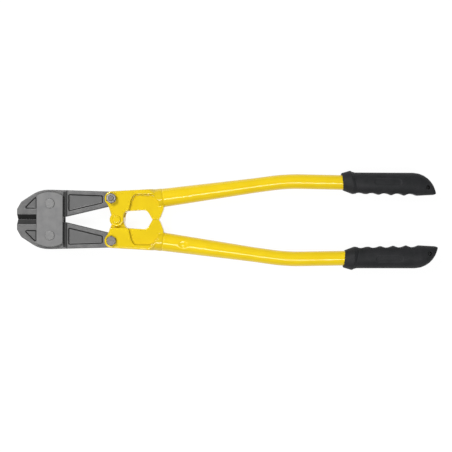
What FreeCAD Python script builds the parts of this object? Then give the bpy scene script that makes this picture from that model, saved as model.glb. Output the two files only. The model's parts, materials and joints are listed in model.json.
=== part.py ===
import FreeCAD, Part
import math
import os
import Sketcher

# Bolt cutters, 600 mm class, with compound action: two hinged handles drive the tails of two
# forged jaws, which rock on rivets between a pair of side plates.
#
# Working frame of the sketches: X runs from the nose tip to the grips along the centreline,
# Y is across the tool, Z = 0 is the mid-plane of its thickness. Every body is then placed so
# that the origin of the whole tool is at the middle of its length, on the surface it lies on.

document = FreeCAD.newDocument("bolt_cutters")

# ---------------------------------------------------------------------------------------------
# Driving dimensions, in millimetres and degrees
# ---------------------------------------------------------------------------------------------
DIMENSIONS = [
    # whole tool
    ("tool_length", 609.6),
    ("ground_height", 23.1),
    ("running_gap", 0.05),
    ("side_gap", 0.2),
    # pivots: jaw rivets, link bolts (jaw tail to handle) and centre rivet (handle to handle)
    ("jaw_pivot_x", 48.5),
    ("jaw_pivot_y", 23.1),
    ("link_x", 137.8),
    ("link_y", 30.5),
    ("centre_x", 144.9),
    # jaws
    ("blade_half", 7),
    ("tail_half", 9),
    ("edge_gap", 0.15),
    ("edge_land_half", 0.2),
    ("bevel_height", 7.3),
    ("bevel_end_x", 31),
    ("nose_face_height", 15),
    ("nose_knee_x", 6.1),
    ("nose_knee_y", 25.6),
    ("nose_knee_radius", 9),
    ("brow_x", 33),
    ("brow_radius", 42),
    ("jaw_back_y", 42.9),
    ("heel_x", 51),
    ("shoulder_x", 71.3),
    ("shoulder_back_y", 42.3),
    ("shoulder_inner_y", 4.4),
    ("tail_end_radius", 9.9),
    ("jaw_recess_depth", 1.6),
    ("jaw_round", 1.1),
    ("recess_corner", 2.4),
    ("nose_recess_x", 8.4),
    ("nose_recess_y", 15.2),
    ("nose_recess_leg", 20.4),
    ("tail_recess_start", 74.2),
    ("tail_recess_end", 124.8),
    ("tail_recess_margin", 6.0),
    ("tail_recess_back_margin", 7.8),
    ("recess_wall_angle", 50),
    ("drift_slot_length", 5.2),
    ("drift_slot_slack", 0.75),
    ("drift_slot_flat", 0.05),
    # side plates and their rivets
    ("plate_start_x", 29.1),
    ("plate_width", 38.2),
    ("plate_corner_y", 34.4),
    ("plate_apex_y", 39.8),
    ("plate_gap", 0.1),
    ("plate_thickness", 5),
    ("plate_chamfer", 0.7),
    ("rivet_radius", 5.5),
    ("rivet_head_radius", 7.05),
    ("rivet_head_height", 1.2),
    ("rivet_edge_round", 0.9),
    # handle heads
    ("cheek_half", 14),
    ("cheek_round", 2.2),
    ("link_ear_radius", 10.5),
    ("link_ear_start_angle", 92),
    ("link_ear_end_angle", 228),
    ("bay_upper_x", 133.6),
    ("bay_upper_y", 17.4),
    ("bay_lower_x", 136.0),
    ("bay_lower_y", 9.5),
    ("bay_round", 7),
    ("bay_foot_round", 1),
    ("centre_ear_radius", 10.2),
    ("centre_ear_start_angle", 140),
    ("centre_ear_end_angle", 12),
    ("tongue_radius", 10),
    ("tongue_half", 9),
    ("tongue_ledge_y", 11.7),
    ("ledge_reach", 15),
    ("fork_cavity_radius", 15.5),
    ("window_top_x", 156.4),
    ("window_top_y", 11.9),
    ("window_top_round", 7),
    ("window_end_x", 185.2),
    ("window_end_y", 13.85),
    ("cheek_foot_across", 9.1),
    ("web_half", 8.5),
    ("web_left_x", 161.8),
    ("web_knee_x", 165.2),
    ("web_knee_y", 27.5),
    ("web_top_left_x", 169.8),
    ("web_top_y", 36.8),
    ("web_top_right_x", 196.4),
    ("web_right_x", 203.6),
    ("web_right_y", 29),
    ("web_end_x", 206.6),
    ("web_low_y", 6),
    ("web_foot_y", 12.2),
    ("web_round", 7),
    ("lug_half", 8.5),
    ("lug_gap", 0.3),
    ("lug_flat_start_x", 195.8),
    ("lug_flat_end_x", 205.4),
    ("lug_foot_x", 190.0),
    ("lug_foot_y", 10.6),
    ("lug_foot_round", 8),
    ("lug_root_across", 11.7),
    ("lug_edge_round", 0.8),
    ("lug_back_x", 207.7),
    ("lug_back_y", 3.8),
    ("lug_heel_x", 212.0),
    ("lug_heel_y", 15),
    ("lug_heel_round", 4),
    ("slot_sweep", 61),
    ("slot_play", 0.5),
    ("slot_reach", 40),
    ("slot_closed_angle", 12.6),
    # handle tubes, measured along their own axis from the seam with the head
    ("seam_x", 211),
    ("seam_y", 31.8),
    ("tube_slope", 7.9),
    ("tube_seam_radius", 13.5),
    ("tube_radius", 10.7),
    ("tube_wall", 2),
    ("taper_length", 133),
    ("bend_start", 158),
    ("bend_radius", 280),
    ("bend_angle", 8.95),
    ("tube_tail", 160),
    ("collar_length", 22),
    ("collar_root_radius", 12.8),
    ("collar_radius", 14.15),
    ("collar_bulge_start", 10),
    ("collar_bulge_end", 2.5),
    ("collar_shoulder_start", 17),
    ("collar_shoulder_radius", 19),
    ("spigot_length", 30),
    ("crimp_along", 29.5),
    ("crimp_radius", 14),
    ("crimp_depth", 1.7),
    # grips, measured along the last straight of the tube from the mouth of the grip
    ("grip_mouth", 59.5),
    ("lower_grip_shift", 2.9),
    ("grip_bore_depth", 102),
    ("grip_bore_play", 0.05),
    ("grip_bore_overrun", 2),
    ("finger_first", 25.4),
    ("finger_pitch", 18.6),
    ("finger_count", 5),
    ("finger_radius", 14),
    ("finger_depth", 2.6),
    ("tail_start", 102.8),
    ("tail_radius", 33.8),
    ("tail_inner_edge", 17.5),
    ("tail_inner_rise", 2.4),
    ("tail_heel_half_thickness", 14.4),
    ("tail_tip_half_thickness", 4.4),
    ("hang_hole_along", 123.9),
    ("hang_hole_across", 4.9),
    ("hang_hole_radius", 2.25),
    ("hang_face_radius", 3.7),
    ("hang_face_half", 9.3),
    # fasteners
    ("bolt_radius", 4),
    ("hex_across_flats", 13),
    ("bolt_head_height", 5.3),
    ("nut_height", 6.5),
    ("bolt_end", 1),
    ("bolt_end_chamfer", 0.7),
    ("hex_bevel_inset", 0.25),
    ("washer_height", 1.6),
    ("washer_radius", 6.9),
    ("washer_split_angle", 350),
    ("centre_rivet_radius", 4.5),
    ("centre_rivet_head_radius", 6.1),
    ("centre_rivet_head_height", 2.4),
    ("centre_rivet_edge_round", 2.2),
    ("centre_washer_height", 1.2),
    ("centre_washer_radius", 8.6),
]

# Oval sections of a grip up to its tail: distance from the mouth, offset of the section's centre
# towards the other handle, half width across the tool and half thickness.
GRIP_SECTIONS = [
    ("mouth", 0, -0.95, 12.55, 12.6),
    ("collar", 13.4, -0.35, 17.05, 16.1),
    ("neck", 19.2, 0.4, 15.3, 14.6),
    ("palm", 62, 0.7, 16.3, 15.2),
]

# The tail is rounded to one arc in plan. Its sections stand at these angles round that arc.
TAIL_ANGLES = [0, 14, 27, 39, 50, 60, 69, 77, 83]

sheet = document.addObject("Spreadsheet::Sheet", "dims")
rows = list(DIMENSIONS)
for station, along, offset, half_width, half_thickness in GRIP_SECTIONS:
    rows.append(("grip_" + station + "_along", along))
    rows.append(("grip_" + station + "_offset", offset))
    rows.append(("grip_" + station + "_half_width", half_width))
    rows.append(("grip_" + station + "_half_thickness", half_thickness))
for number, (alias, value) in enumerate(rows, start=1):
    sheet.set("A%d" % number, alias)
    sheet.set("B%d" % number, str(value))
    sheet.setAlias("B%d" % number, alias)
document.recompute()


def value_of(expression):
    """Number that a spreadsheet expression gives now."""
    return float(sheet.evalExpression(expression))


def d(*names):
    """Expression for the sum of some driving dimensions."""
    return " + ".join("dims." + name for name in names)


# ---------------------------------------------------------------------------------------------
# Sketch and feature helpers
# ---------------------------------------------------------------------------------------------
def new_body(name):
    body = document.addObject("PartDesign::Body", name)
    body.Label = name
    return body


def origin_feature(body, role):
    return [feature for feature in body.Origin.OriginFeatures if feature.Role == role][0]


def new_sketch(body, name, plane="XY_Plane", offset=None):
    """Empty sketch on an origin plane. offset maps AttachmentOffset fields to expressions."""
    sketch = body.newObject("Sketcher::SketchObject", name)
    sketch.AttachmentSupport = (origin_feature(body, plane), [""])
    sketch.MapMode = "FlatFace"
    for field, expression in (offset or {}).items():
        sketch.setExpression("AttachmentOffset." + field, expression)
    return sketch


def bind(sketch, kind, arguments, expression):
    """Dimensional constraint whose value follows an expression."""
    index = sketch.addConstraint(Sketcher.Constraint(kind, *arguments, value_of(expression)))
    sketch.renameConstraint(index, "size_%d" % index)
    sketch.setExpression("Constraints.size_%d" % index, expression)


def bind_point(sketch, geometry, position, x_expression, y_expression):
    bind(sketch, "DistanceX", (-1, 1, geometry, position), x_expression)
    bind(sketch, "DistanceY", (-1, 1, geometry, position), y_expression)


def add_circle(sketch, x_expression, y_expression, radius_expression):
    centre = FreeCAD.Vector(value_of(x_expression), value_of(y_expression), 0)
    circle = Part.Circle(centre, FreeCAD.Vector(0, 0, 1), value_of(radius_expression))
    geometry = sketch.addGeometry(circle)
    bind(sketch, "Radius", (geometry,), radius_expression)
    bind_point(sketch, geometry, 3, x_expression, y_expression)


def add_ellipse(sketch, x_expression, y_expression, half_x, half_y):
    """Axis-aligned ellipse, its shape held by four named numbers."""
    centre = FreeCAD.Vector(value_of(x_expression), value_of(y_expression), 0)
    major, minor = max(half_x, half_y), min(half_x, half_y)
    along = FreeCAD.Vector(major, 0, 0) if half_x >= half_y else FreeCAD.Vector(0, major, 0)
    across = FreeCAD.Vector(0, minor, 0) if half_x >= half_y else FreeCAD.Vector(-minor, 0, 0)
    geometry = sketch.addGeometry(Part.Ellipse(centre + along, centre + across, centre))
    bind_point(sketch, geometry, 3, x_expression, y_expression)


class Corner:
    """Corner of an outline. round_by rounds it; arc = (centre x, centre y, radius) makes the
    edge that leaves it an arc, which turns anticlockwise unless clockwise is set."""

    def __init__(self, x, y, round_by=None, arc=None, clockwise=False):
        self.x = str(x)
        self.y = str(y)
        self.round_by = round_by
        self.arc = arc
        self.clockwise = clockwise


def mirrored(corners, side):
    """The same outline for the upper (side 1) or lower (side -1) half of the tool."""
    if side > 0:
        return corners
    result = []
    for corner in corners:
        arc = corner.arc
        if arc:
            arc = (arc[0], "-(%s)" % arc[1], arc[2])
        result.append(
            Corner(corner.x, "-(%s)" % corner.y, corner.round_by, arc, not corner.clockwise)
        )
    return result


def add_outline(sketch, corners):
    """Closed outline of lines and arcs through corners, every size bound to the sheet."""
    count = len(corners)
    places = [FreeCAD.Vector(value_of(c.x), value_of(c.y), 0) for c in corners]
    starts = list(places)
    ends = list(places)
    for index, corner in enumerate(corners):
        if corner.round_by is None:
            continue
        before = (places[index - 1] - places[index]).normalize()
        after = (places[(index + 1) % count] - places[index]).normalize()
        half_angle = before.getAngle(after) / 2
        reach = value_of(corner.round_by) / math.tan(half_angle)
        ends[index] = places[index] + before * reach
        starts[index] = places[index] + after * reach
    edges = []
    for index, corner in enumerate(corners):
        start = starts[index]
        end = ends[(index + 1) % count]
        if corner.arc is None:
            edges.append(sketch.addGeometry(Part.LineSegment(start, end)))
            continue
        centre = FreeCAD.Vector(value_of(corner.arc[0]), value_of(corner.arc[1]), 0)
        edges.append(add_arc(sketch, centre, start, end, corner.clockwise))
        bind(sketch, "Radius", (edges[-1],), corner.arc[2])
    for index, corner in enumerate(corners):
        edge_in = edges[index - 1]
        edge_out = edges[index]
        pos_in = 1 if is_clockwise_arc(corners[index - 1]) else 2
        pos_out = 2 if is_clockwise_arc(corner) else 1
        if corner.round_by is None:
            sketch.addConstraint(
                Sketcher.Constraint("Coincident", edge_in, pos_in, edge_out, pos_out)
            )
            bind_point(sketch, edge_out, pos_out, corner.x, corner.y)
            continue
        turn = (places[index] - ends[index]).cross(starts[index] - places[index]).z
        inward = FreeCAD.Vector(0, 0, 1 if turn > 0 else -1).cross(
            (places[index] - ends[index]).normalize()
        )
        centre = ends[index] + inward * value_of(corner.round_by)
        fillet = add_arc(sketch, centre, ends[index], starts[index], turn < 0)
        pos_start, pos_end = (1, 2) if turn > 0 else (2, 1)
        sketch.addConstraint(Sketcher.Constraint("Tangent", edge_in, pos_in, fillet, pos_start))
        sketch.addConstraint(Sketcher.Constraint("Tangent", fillet, pos_end, edge_out, pos_out))
        bind(sketch, "Radius", (fillet,), corner.round_by)
        vertex = sketch.addGeometry(Part.Point(places[index]), True)
        sketch.addConstraint(Sketcher.Constraint("PointOnObject", vertex, 1, edge_in))
        sketch.addConstraint(Sketcher.Constraint("PointOnObject", vertex, 1, edge_out))
        bind_point(sketch, vertex, 1, corner.x, corner.y)


def is_clockwise_arc(corner):
    return corner.arc is not None and corner.clockwise


def add_arc(sketch, centre, start, end, clockwise):
    """Arc from start to end; a clockwise one is stored from end to start."""
    if clockwise:
        start, end = end, start
    circle = Part.Circle(centre, FreeCAD.Vector(0, 0, 1), (start - centre).Length)
    first = math.atan2(start.y - centre.y, start.x - centre.x)
    last = math.atan2(end.y - centre.y, end.x - centre.x)
    return sketch.addGeometry(Part.ArcOfCircle(circle, first, last))


def feature(body, kind, name, sketch, **settings):
    """PartDesign feature from a sketch. A setting given as text becomes an expression."""
    result = body.newObject("PartDesign::" + kind, name)
    result.Profile = sketch
    for key, setting in settings.items():
        if isinstance(setting, str) and key in ("Length", "Angle"):
            result.setExpression(key, setting)
        else:
            setattr(result, key, setting)
    sketch.Visibility = False
    document.recompute()
    return result


def pad_both_ways(body, name, corners, half_expression):
    """Slab of the outline, the same thickness above and below the mid-plane."""
    sketch = new_sketch(body, name + "_outline")
    add_outline(sketch, corners)
    return feature(body, "Pad", name, sketch, SideType="Symmetric", Length="2 * (%s)" % half_expression)


def pocket_both_ways(body, name, corners, half_expression):
    """Cut of the outline through the middle, to a depth above and below the mid-plane."""
    sketch = new_sketch(body, name + "_outline")
    add_outline(sketch, corners)
    length = "2 * (%s)" % half_expression
    return feature(body, "Pocket", name, sketch, SideType="Symmetric", Length=length)


def round_pocket(body, name, x_expression, y_expression, radius_expression, half_expression):
    """Round hole or cavity through the middle, to a depth above and below the mid-plane."""
    sketch = new_sketch(body, name + "_circle")
    add_circle(sketch, x_expression, y_expression, radius_expression)
    length = "2 * (%s)" % half_expression
    return feature(body, "Pocket", name, sketch, SideType="Symmetric", Length=length)


def face_recess(body, name, corners, face_height, depth, wall_angle=None):
    """Recess in the front face and its mirror image in the rear face. Its walls are square to
    the face, or lean back from it by the wall angle."""
    sketch = new_sketch(body, name + "_outline", offset={"Base.z": face_height})
    add_outline(sketch, corners)
    recess = feature(body, "Pocket", name, sketch, Length=depth)
    if wall_angle:
        recess.setExpression("TaperAngle", "-(%s)" % wall_angle)
        document.recompute()
    mirror = body.newObject("PartDesign::Mirrored", name + "_mirror")
    mirror.Originals = [recess]
    mirror.MirrorPlane = (origin_feature(body, "XY_Plane"), [""])
    body.Tip = mirror
    document.recompute()


def revolve(body, name, corners, plane, axis, offset=None, angle="360"):
    """Solid of revolution of an outline about one of its sketch's axes."""
    sketch = new_sketch(body, name + "_profile", plane, offset)
    add_outline(sketch, corners)
    return feature(body, "Revolution", name, sketch, ReferenceAxis=(sketch, [axis]), Angle=angle)


def dress_edges(body, kind, name, wanted, expression):
    """Fillet or chamfer on the edges of the body that the test wanted picks."""
    base = body.Tip
    names = []
    for index, edge in enumerate(base.Shape.Edges, start=1):
        if wanted(edge):
            names.append("Edge%d" % index)
    dressing = body.newObject("PartDesign::" + kind, name)
    dressing.Base = (base, names)
    dressing.setExpression("Radius" if kind == "Fillet" else "Size", expression)
    document.recompute()


def edge_at_height(height, tolerance=0.01):
    """Test for edges that lie in the plane |Z| = height."""

    def test(edge):
        box = edge.BoundBox
        low = abs(abs(box.ZMin) - height) < tolerance
        high = abs(abs(box.ZMax) - height) < tolerance
        return low and high and box.ZLength < tolerance

    return test


def place(body, x_expression="0", y_expression="0", z_expression="0"):
    """Put a body in the frame of the whole tool: origin at mid-length on the ground."""
    body.setExpression("Placement.Base.x", "%s - dims.tool_length / 2" % x_expression)
    body.setExpression("Placement.Base.y", y_expression)
    body.setExpression("Placement.Base.z", "%s + dims.ground_height" % z_expression)
    finished.append(body)


finished = []


# ---------------------------------------------------------------------------------------------
# Jaws: blade, hub on the side plate rivet, and tail that reaches into the handle head
# ---------------------------------------------------------------------------------------------
def make_jaw(name, side, pivot_is_slotted):
    body = new_body(name)
    blade = [
        Corner("0", d("edge_gap")),
        Corner(d("heel_x"), d("edge_gap")),
        Corner(d("shoulder_x"), d("shoulder_inner_y")),
        Corner(d("shoulder_x"), d("shoulder_back_y")),
        Corner(d("heel_x"), d("jaw_back_y")),
        Corner(d("brow_x"), d("jaw_back_y"), d("brow_radius")),
        Corner(d("nose_knee_x"), d("nose_knee_y"), d("nose_knee_radius")),
        Corner("0", d("nose_face_height")),
    ]
    pad_both_ways(body, "blade", mirrored(blade, side), d("blade_half"))
    # Its rim is rounded, except where the tail will join it and along the cutting edge.
    at_height = edge_at_height(value_of(d("blade_half")))
    inner_limit = value_of(d("bevel_height"))
    shoulder = value_of(d("shoulder_x"))

    def blade_rim(edge):
        box = edge.BoundBox
        reaches_back = max(abs(box.YMin), abs(box.YMax)) > inner_limit
        return at_height(edge) and reaches_back and box.XMin < shoulder - 0.01

    dress_edges(body, "Fillet", "blade_rounding", blade_rim, d("jaw_round"))
    # The tail narrows to a round end about the link bolt, and both edges meet it as tangents.
    run = "(dims.link_x - dims.shoulder_x)"
    inner_rise = "(dims.link_y - dims.shoulder_inner_y)"
    inner_angle = "(atan(%s / %s) - asin(dims.tail_end_radius / sqrt(%s ^ 2 + %s ^ 2)))" % (
        inner_rise, run, inner_rise, run,
    )
    back_angle = "asin((dims.shoulder_back_y - dims.link_y - dims.tail_end_radius) / %s)" % run
    tail = [
        Corner(d("shoulder_x"), d("shoulder_inner_y")),
        Corner(
            "dims.link_x + dims.tail_end_radius * sin(%s)" % inner_angle,
            "dims.link_y - dims.tail_end_radius * cos(%s)" % inner_angle,
            arc=(d("link_x"), d("link_y"), d("tail_end_radius")),
        ),
        Corner(
            "dims.link_x + dims.tail_end_radius * sin(%s)" % back_angle,
            "dims.link_y + dims.tail_end_radius * cos(%s)" % back_angle,
        ),
        Corner(d("shoulder_x"), d("shoulder_back_y")),
    ]
    pad_both_ways(body, "tail", mirrored(tail, side), d("tail_half"))
    rim = edge_at_height(value_of(d("tail_half")))
    dress_edges(body, "Fillet", "tail_rounding", rim, d("jaw_round"))
    # Cutting edge: both faces slope to a narrow land on the mid-plane.
    sketch = new_sketch(body, "bevel_profile", "YZ_Plane")
    for face in (1, -1):
        bevel = [
            Corner("%d * dims.edge_gap" % side, "%d * dims.edge_land_half" % face),
            Corner("%d * dims.bevel_height" % side, "%d * dims.blade_half" % face),
            Corner("%d * dims.edge_gap" % side, "%d * dims.blade_half" % face),
        ]
        add_outline(sketch, bevel)
    feature(body, "Pocket", "bevel", sketch, Length=d("bevel_end_x"), Reversed=True)
    # Forged recesses in both faces, a triangle on the nose and a long panel on the tail.
    nose_right = d("nose_recess_x", "nose_recess_leg")
    nose_recess = [
        Corner(d("nose_recess_x"), d("nose_recess_y"), d("recess_corner")),
        Corner(nose_right, d("nose_recess_y"), d("recess_corner")),
        Corner(nose_right, d("nose_recess_y", "nose_recess_leg"), d("recess_corner")),
    ]
    depth = d("jaw_recess_depth")
    wall = d("recess_wall_angle")
    face_recess(body, "nose_recess", mirrored(nose_recess, side), d("blade_half"), depth, wall)
    inner_slope = "tan(%s)" % inner_angle
    low = "(dims.shoulder_inner_y + dims.tail_recess_margin + %s * (dims.%s - dims.shoulder_x))"
    tail_recess = [
        Corner(d("tail_recess_start"), low % (inner_slope, "tail_recess_start"), d("recess_corner")),
        Corner(d("tail_recess_end"), low % (inner_slope, "tail_recess_end"), d("recess_corner")),
        Corner(d("tail_recess_end"), "dims.jaw_back_y - dims.tail_recess_back_margin",
               d("recess_corner")),
        Corner(d("tail_recess_start"), "dims.jaw_back_y - dims.tail_recess_margin",
               d("recess_corner")),
    ]
    face_recess(body, "tail_recess", mirrored(tail_recess, side), d("tail_half"), depth, wall)
    through = d("tail_half", "plate_gap")
    pivot_y = "%d * dims.jaw_pivot_y" % side
    if pivot_is_slotted:
        half = d("rivet_radius", "drift_slot_slack")
        left = "dims.jaw_pivot_x - (%s)" % half
        right = "dims.jaw_pivot_x + %s" % half
        top = "dims.jaw_pivot_y + %s" % half
        bottom = "dims.jaw_pivot_y - dims.drift_slot_length - (%s)" % half
        end_round = half + " - dims.drift_slot_flat"
        slot = [
            Corner(left, top, end_round),
            Corner(left, bottom, end_round),
            Corner(right, bottom, end_round),
            Corner(right, top, end_round),
        ]
        pocket_both_ways(body, "rivet_slot", mirrored(slot, side), through)
    else:
        radius = d("rivet_radius", "running_gap")
        round_pocket(body, "rivet_hole", d("jaw_pivot_x"), pivot_y, radius, through)
    radius = d("bolt_radius", "running_gap")
    round_pocket(body, "bolt_hole", d("link_x"), "%d * dims.link_y" % side, radius, through)
    place(body)


make_jaw("upper_jaw", 1, True)
make_jaw("lower_jaw", -1, False)


# ---------------------------------------------------------------------------------------------
# Side plates: two flat links, one on each face of the jaws
# ---------------------------------------------------------------------------------------------
def make_side_plate(name, face):
    body = new_body(name)
    # End arc through both corners and the apex.
    rise = "(dims.plate_apex_y - dims.plate_corner_y)"
    radius = "((dims.plate_width / 2) ^ 2 + %s ^ 2) / (2 * %s)" % (rise, rise)
    middle = "dims.plate_start_x + dims.plate_width / 2"
    left = d("plate_start_x")
    right = d("plate_start_x", "plate_width")
    outline = [
        Corner(right, "-dims.plate_corner_y"),
        Corner(right, d("plate_corner_y"),
               arc=(middle, "dims.plate_apex_y - %s" % radius, radius)),
        Corner(left, d("plate_corner_y")),
        Corner(left, "-dims.plate_corner_y",
               arc=(middle, "-(dims.plate_apex_y - %s)" % radius, radius)),
    ]
    base = "%d * (dims.blade_half + dims.plate_gap)" % face
    sketch = new_sketch(body, "plate_outline", offset={"Base.z": base})
    add_outline(sketch, outline)
    feature(body, "Pad", "plate", sketch, Length=d("plate_thickness"), Reversed=face < 0)
    outer = value_of(d("blade_half", "plate_gap", "plate_thickness"))
    dress_edges(body, "Chamfer", "outer_chamfer", edge_at_height(outer), d("plate_chamfer"))
    sketch = new_sketch(body, "rivet_holes", offset={"Base.z": base})
    for side in (1, -1):
        add_circle(sketch, d("jaw_pivot_x"), "%d * dims.jaw_pivot_y" % side, d("rivet_radius"))
    feature(body, "Pocket", "holes", sketch, Length="2 * dims.plate_thickness", Reversed=face > 0)
    place(body)


make_side_plate("front_side_plate", 1)
make_side_plate("rear_side_plate", -1)


def make_rivet(name, x_expression, y_expression, shank, head, edge_round, front, rear):
    """Rivet about its own axis: a shank with a low round-edged head on each end. head is the
    head's radius and height; front and rear are the faces that the heads sit on."""
    body = new_body(name)
    head_radius, head_height = head
    top = "(%s) + (%s)" % (front, head_height)
    bottom = "-(%s) - (%s)" % (rear, head_height)
    profile = [
        Corner("0", bottom),
        Corner(head_radius, bottom, edge_round),
        Corner(head_radius, "-(%s)" % rear),
        Corner(shank, "-(%s)" % rear),
        Corner(shank, front),
        Corner(head_radius, front),
        Corner(head_radius, top, edge_round),
        Corner("0", top),
    ]
    revolve(body, "rivet", profile, "XZ_Plane", "V_Axis")
    place(body, x_expression, y_expression)


plate_face = d("blade_half", "plate_gap", "plate_thickness")
rivet_head = (d("rivet_head_radius"), d("rivet_head_height"))
for name, side in (("upper_jaw_rivet", 1), ("lower_jaw_rivet", -1)):
    make_rivet(name, d("jaw_pivot_x"), "%d * dims.jaw_pivot_y" % side, d("rivet_radius"),
               rivet_head, d("rivet_edge_round"), plate_face, plate_face)
make_rivet("centre_rivet", d("centre_x"), "0", d("centre_rivet_radius"),
           (d("centre_rivet_head_radius"), d("centre_rivet_head_height")),
           d("centre_rivet_edge_round"), d("cheek_half"), d("cheek_half", "centre_washer_height"))


# ---------------------------------------------------------------------------------------------
# Handle heads: forged cheeks that fork over the jaw tail and over each other, with a web, a
# stop lug and a spigot for the tube
# ---------------------------------------------------------------------------------------------
def on_tube(along, across):
    """Expressions for a point given along and across the upper tube's axis at the seam."""
    x = "dims.seam_x + (%s) * cos(dims.tube_slope) - (%s) * sin(dims.tube_slope)" % (along, across)
    y = "dims.seam_y + (%s) * sin(dims.tube_slope) + (%s) * cos(dims.tube_slope)" % (along, across)
    return x, y


def tube_frame(side, extra=None):
    """Attachment offset of a sketch whose X axis is the tube's axis, from the seam."""
    offset = {
        "Base.x": d("seam_x"),
        "Base.y": "%d * dims.seam_y" % side,
        "Rotation.Angle": "%d * dims.tube_slope" % side,
    }
    offset.update(extra or {})
    return offset


def on_circle(centre_x, centre_y, radius, angle):
    return (
        "%s + (%s) * cos(%s)" % (centre_x, radius, angle),
        "%s + (%s) * sin(%s)" % (centre_y, radius, angle),
    )


def make_head(name, side, is_fork):
    body = new_body(name)
    link = (d("link_x"), d("link_y"))
    centre = (d("centre_x"), "0")
    ear = d("link_ear_radius")
    hub = d("centre_ear_radius") if is_fork else d("tongue_radius")
    shoulder = "-dims.collar_bulge_end"
    top_right = on_tube(shoulder, d("tube_seam_radius"))
    low_right = on_tube(shoulder, "-dims.cheek_foot_across")
    cheek = [
        Corner(*top_right),
        Corner(*on_circle(*link, ear, d("link_ear_start_angle")), arc=(*link, ear)),
        Corner(*on_circle(*link, ear, d("link_ear_end_angle"))),
        Corner(d("bay_upper_x"), d("bay_upper_y"), d("bay_round")),
        Corner(d("bay_lower_x"), d("bay_lower_y"), d("bay_foot_round")),
        Corner(*on_circle(*centre, hub, d("centre_ear_start_angle")), arc=(*centre, hub)),
        Corner(*on_circle(*centre, hub, d("centre_ear_end_angle"))),
        Corner(d("window_top_x"), d("window_top_y"), d("window_top_round")),
        Corner(d("window_end_x"), d("window_end_y")),
        Corner(*low_right),
    ]
    pad_both_ways(body, "cheeks", mirrored(cheek, side), d("cheek_half"))
    rim = edge_at_height(value_of(d("cheek_half")))
    dress_edges(body, "Fillet", "cheek_rounding", rim, d("cheek_round"))
    # The square end of the cheeks is turned down to the round collar.
    turned = [
        Corner("-dims.collar_shoulder_start", d("collar_shoulder_radius")),
        Corner("-dims.collar_bulge_start", d("collar_radius")),
        Corner(d("collar_length"), d("collar_radius")),
        Corner(d("collar_length"), "2 * dims.collar_shoulder_radius"),
        Corner("-dims.collar_shoulder_start", "2 * dims.collar_shoulder_radius"),
    ]
    profile = new_sketch(body, "turned_profile", "XY_Plane", tube_frame(side))
    add_outline(profile, turned)
    feature(body, "Groove", "turned_end", profile, ReferenceAxis=(profile, ["H_Axis"]), Angle="360")
    # Collar that meets the tube flush, and the spigot inside the tube.
    taper = "((dims.tube_seam_radius - dims.tube_radius) / dims.taper_length)"
    bore = "dims.tube_seam_radius - dims.tube_wall - dims.running_gap"
    collar = [
        Corner("-dims.collar_length", "0"),
        Corner(d("spigot_length"), "0"),
        Corner(d("spigot_length"), "%s - %s * dims.spigot_length" % (bore, taper)),
        Corner("0", bore),
        Corner("0", d("tube_seam_radius")),
        Corner("-dims.collar_bulge_end", d("collar_radius")),
        Corner("-dims.collar_bulge_start", d("collar_radius")),
        Corner("-dims.collar_length", d("collar_root_radius")),
    ]
    revolve(body, "collar", collar, "XY_Plane", "H_Axis", tube_frame(side))
    # The web between cheeks and collar is thinner, down to the window edge.
    web = [
        Corner(d("web_left_x"), d("web_low_y")),
        Corner(d("web_end_x"), d("web_low_y")),
        Corner(d("web_end_x"), "dims.seam_y - dims.tube_seam_radius"),
        Corner(d("web_right_x"), d("web_right_y"), d("web_round")),
        Corner(d("web_top_right_x"), d("web_top_y"), d("web_round")),
        Corner(d("web_top_left_x"), d("web_top_y"), d("web_round")),
        Corner(d("web_knee_x"), d("web_knee_y"), "2 * dims.web_round"),
        Corner(d("web_left_x"), d("web_foot_y")),
    ]
    depth = "dims.cheek_half - dims.web_half"
    face_recess(body, "web_recess", mirrored(web, side), d("cheek_half"), depth)
    # Stop lug: the two lugs meet on the centreline when the handles are closed.
    lug = [
        Corner(d("window_end_x"), "dims.window_end_y + dims.tube_seam_radius / 2"),
        Corner(d("window_end_x"), d("window_end_y")),
        Corner(d("lug_foot_x"), d("lug_foot_y"), d("lug_foot_round")),
        Corner(d("lug_flat_start_x"), d("lug_gap"), d("lug_edge_round")),
        Corner(d("lug_flat_end_x"), d("lug_gap"), d("lug_edge_round")),
        Corner(d("lug_back_x"), d("lug_back_y"), d("lug_heel_round")),
        Corner(d("lug_heel_x"), d("lug_heel_y"), d("lug_heel_round")),
        Corner(*on_tube("0", "-dims.lug_root_across")),
        Corner(*on_tube(shoulder, "0")),
    ]
    pad_both_ways(body, "stop_lug", mirrored(lug, side), d("lug_half"))
    root_x = value_of(d("window_end_x"))
    root_y = value_of(d("window_end_y"))

    def lug_root(edge):
        box = edge.BoundBox
        away = math.hypot((box.XMin + box.XMax) / 2 - root_x, abs(box.YMin + box.YMax) / 2 - root_y)
        return away < 0.01 and box.XLength < 0.01 and box.YLength < 0.01

    dress_edges(body, "Fillet", "lug_root_rounding", lug_root, d("lug_foot_round"))
    # Slot for the jaw tail, wide enough for its whole swing.
    play = d("tail_end_radius", "slot_play")
    gap = d("tail_half", "side_gap")
    first = on_circle(*link, play, "dims.slot_closed_angle - 90")
    last = on_circle(*link, play, "90 - dims.slot_sweep")
    reach_x = "dims.link_x - dims.slot_reach"
    open_y = "%s + dims.slot_reach * sin(dims.slot_sweep)" % last[1]
    slot = [
        Corner(*first, arc=(*link, play)),
        Corner(*last),
        Corner("%s - dims.slot_reach * cos(dims.slot_sweep)" % last[0], open_y),
        Corner(reach_x, open_y),
        Corner(reach_x, "%s - dims.slot_reach * tan(dims.slot_closed_angle)" % first[1]),
    ]
    pocket_both_ways(body, "tail_slot", mirrored(slot, side), gap)
    if is_fork:
        # Cavity between the ears for the other head's tongue.
        half = d("tongue_half", "side_gap")
        round_pocket(body, "tongue_cavity", *centre, d("fork_cavity_radius"), half)
        hole = d("centre_rivet_radius")
    else:
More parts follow.
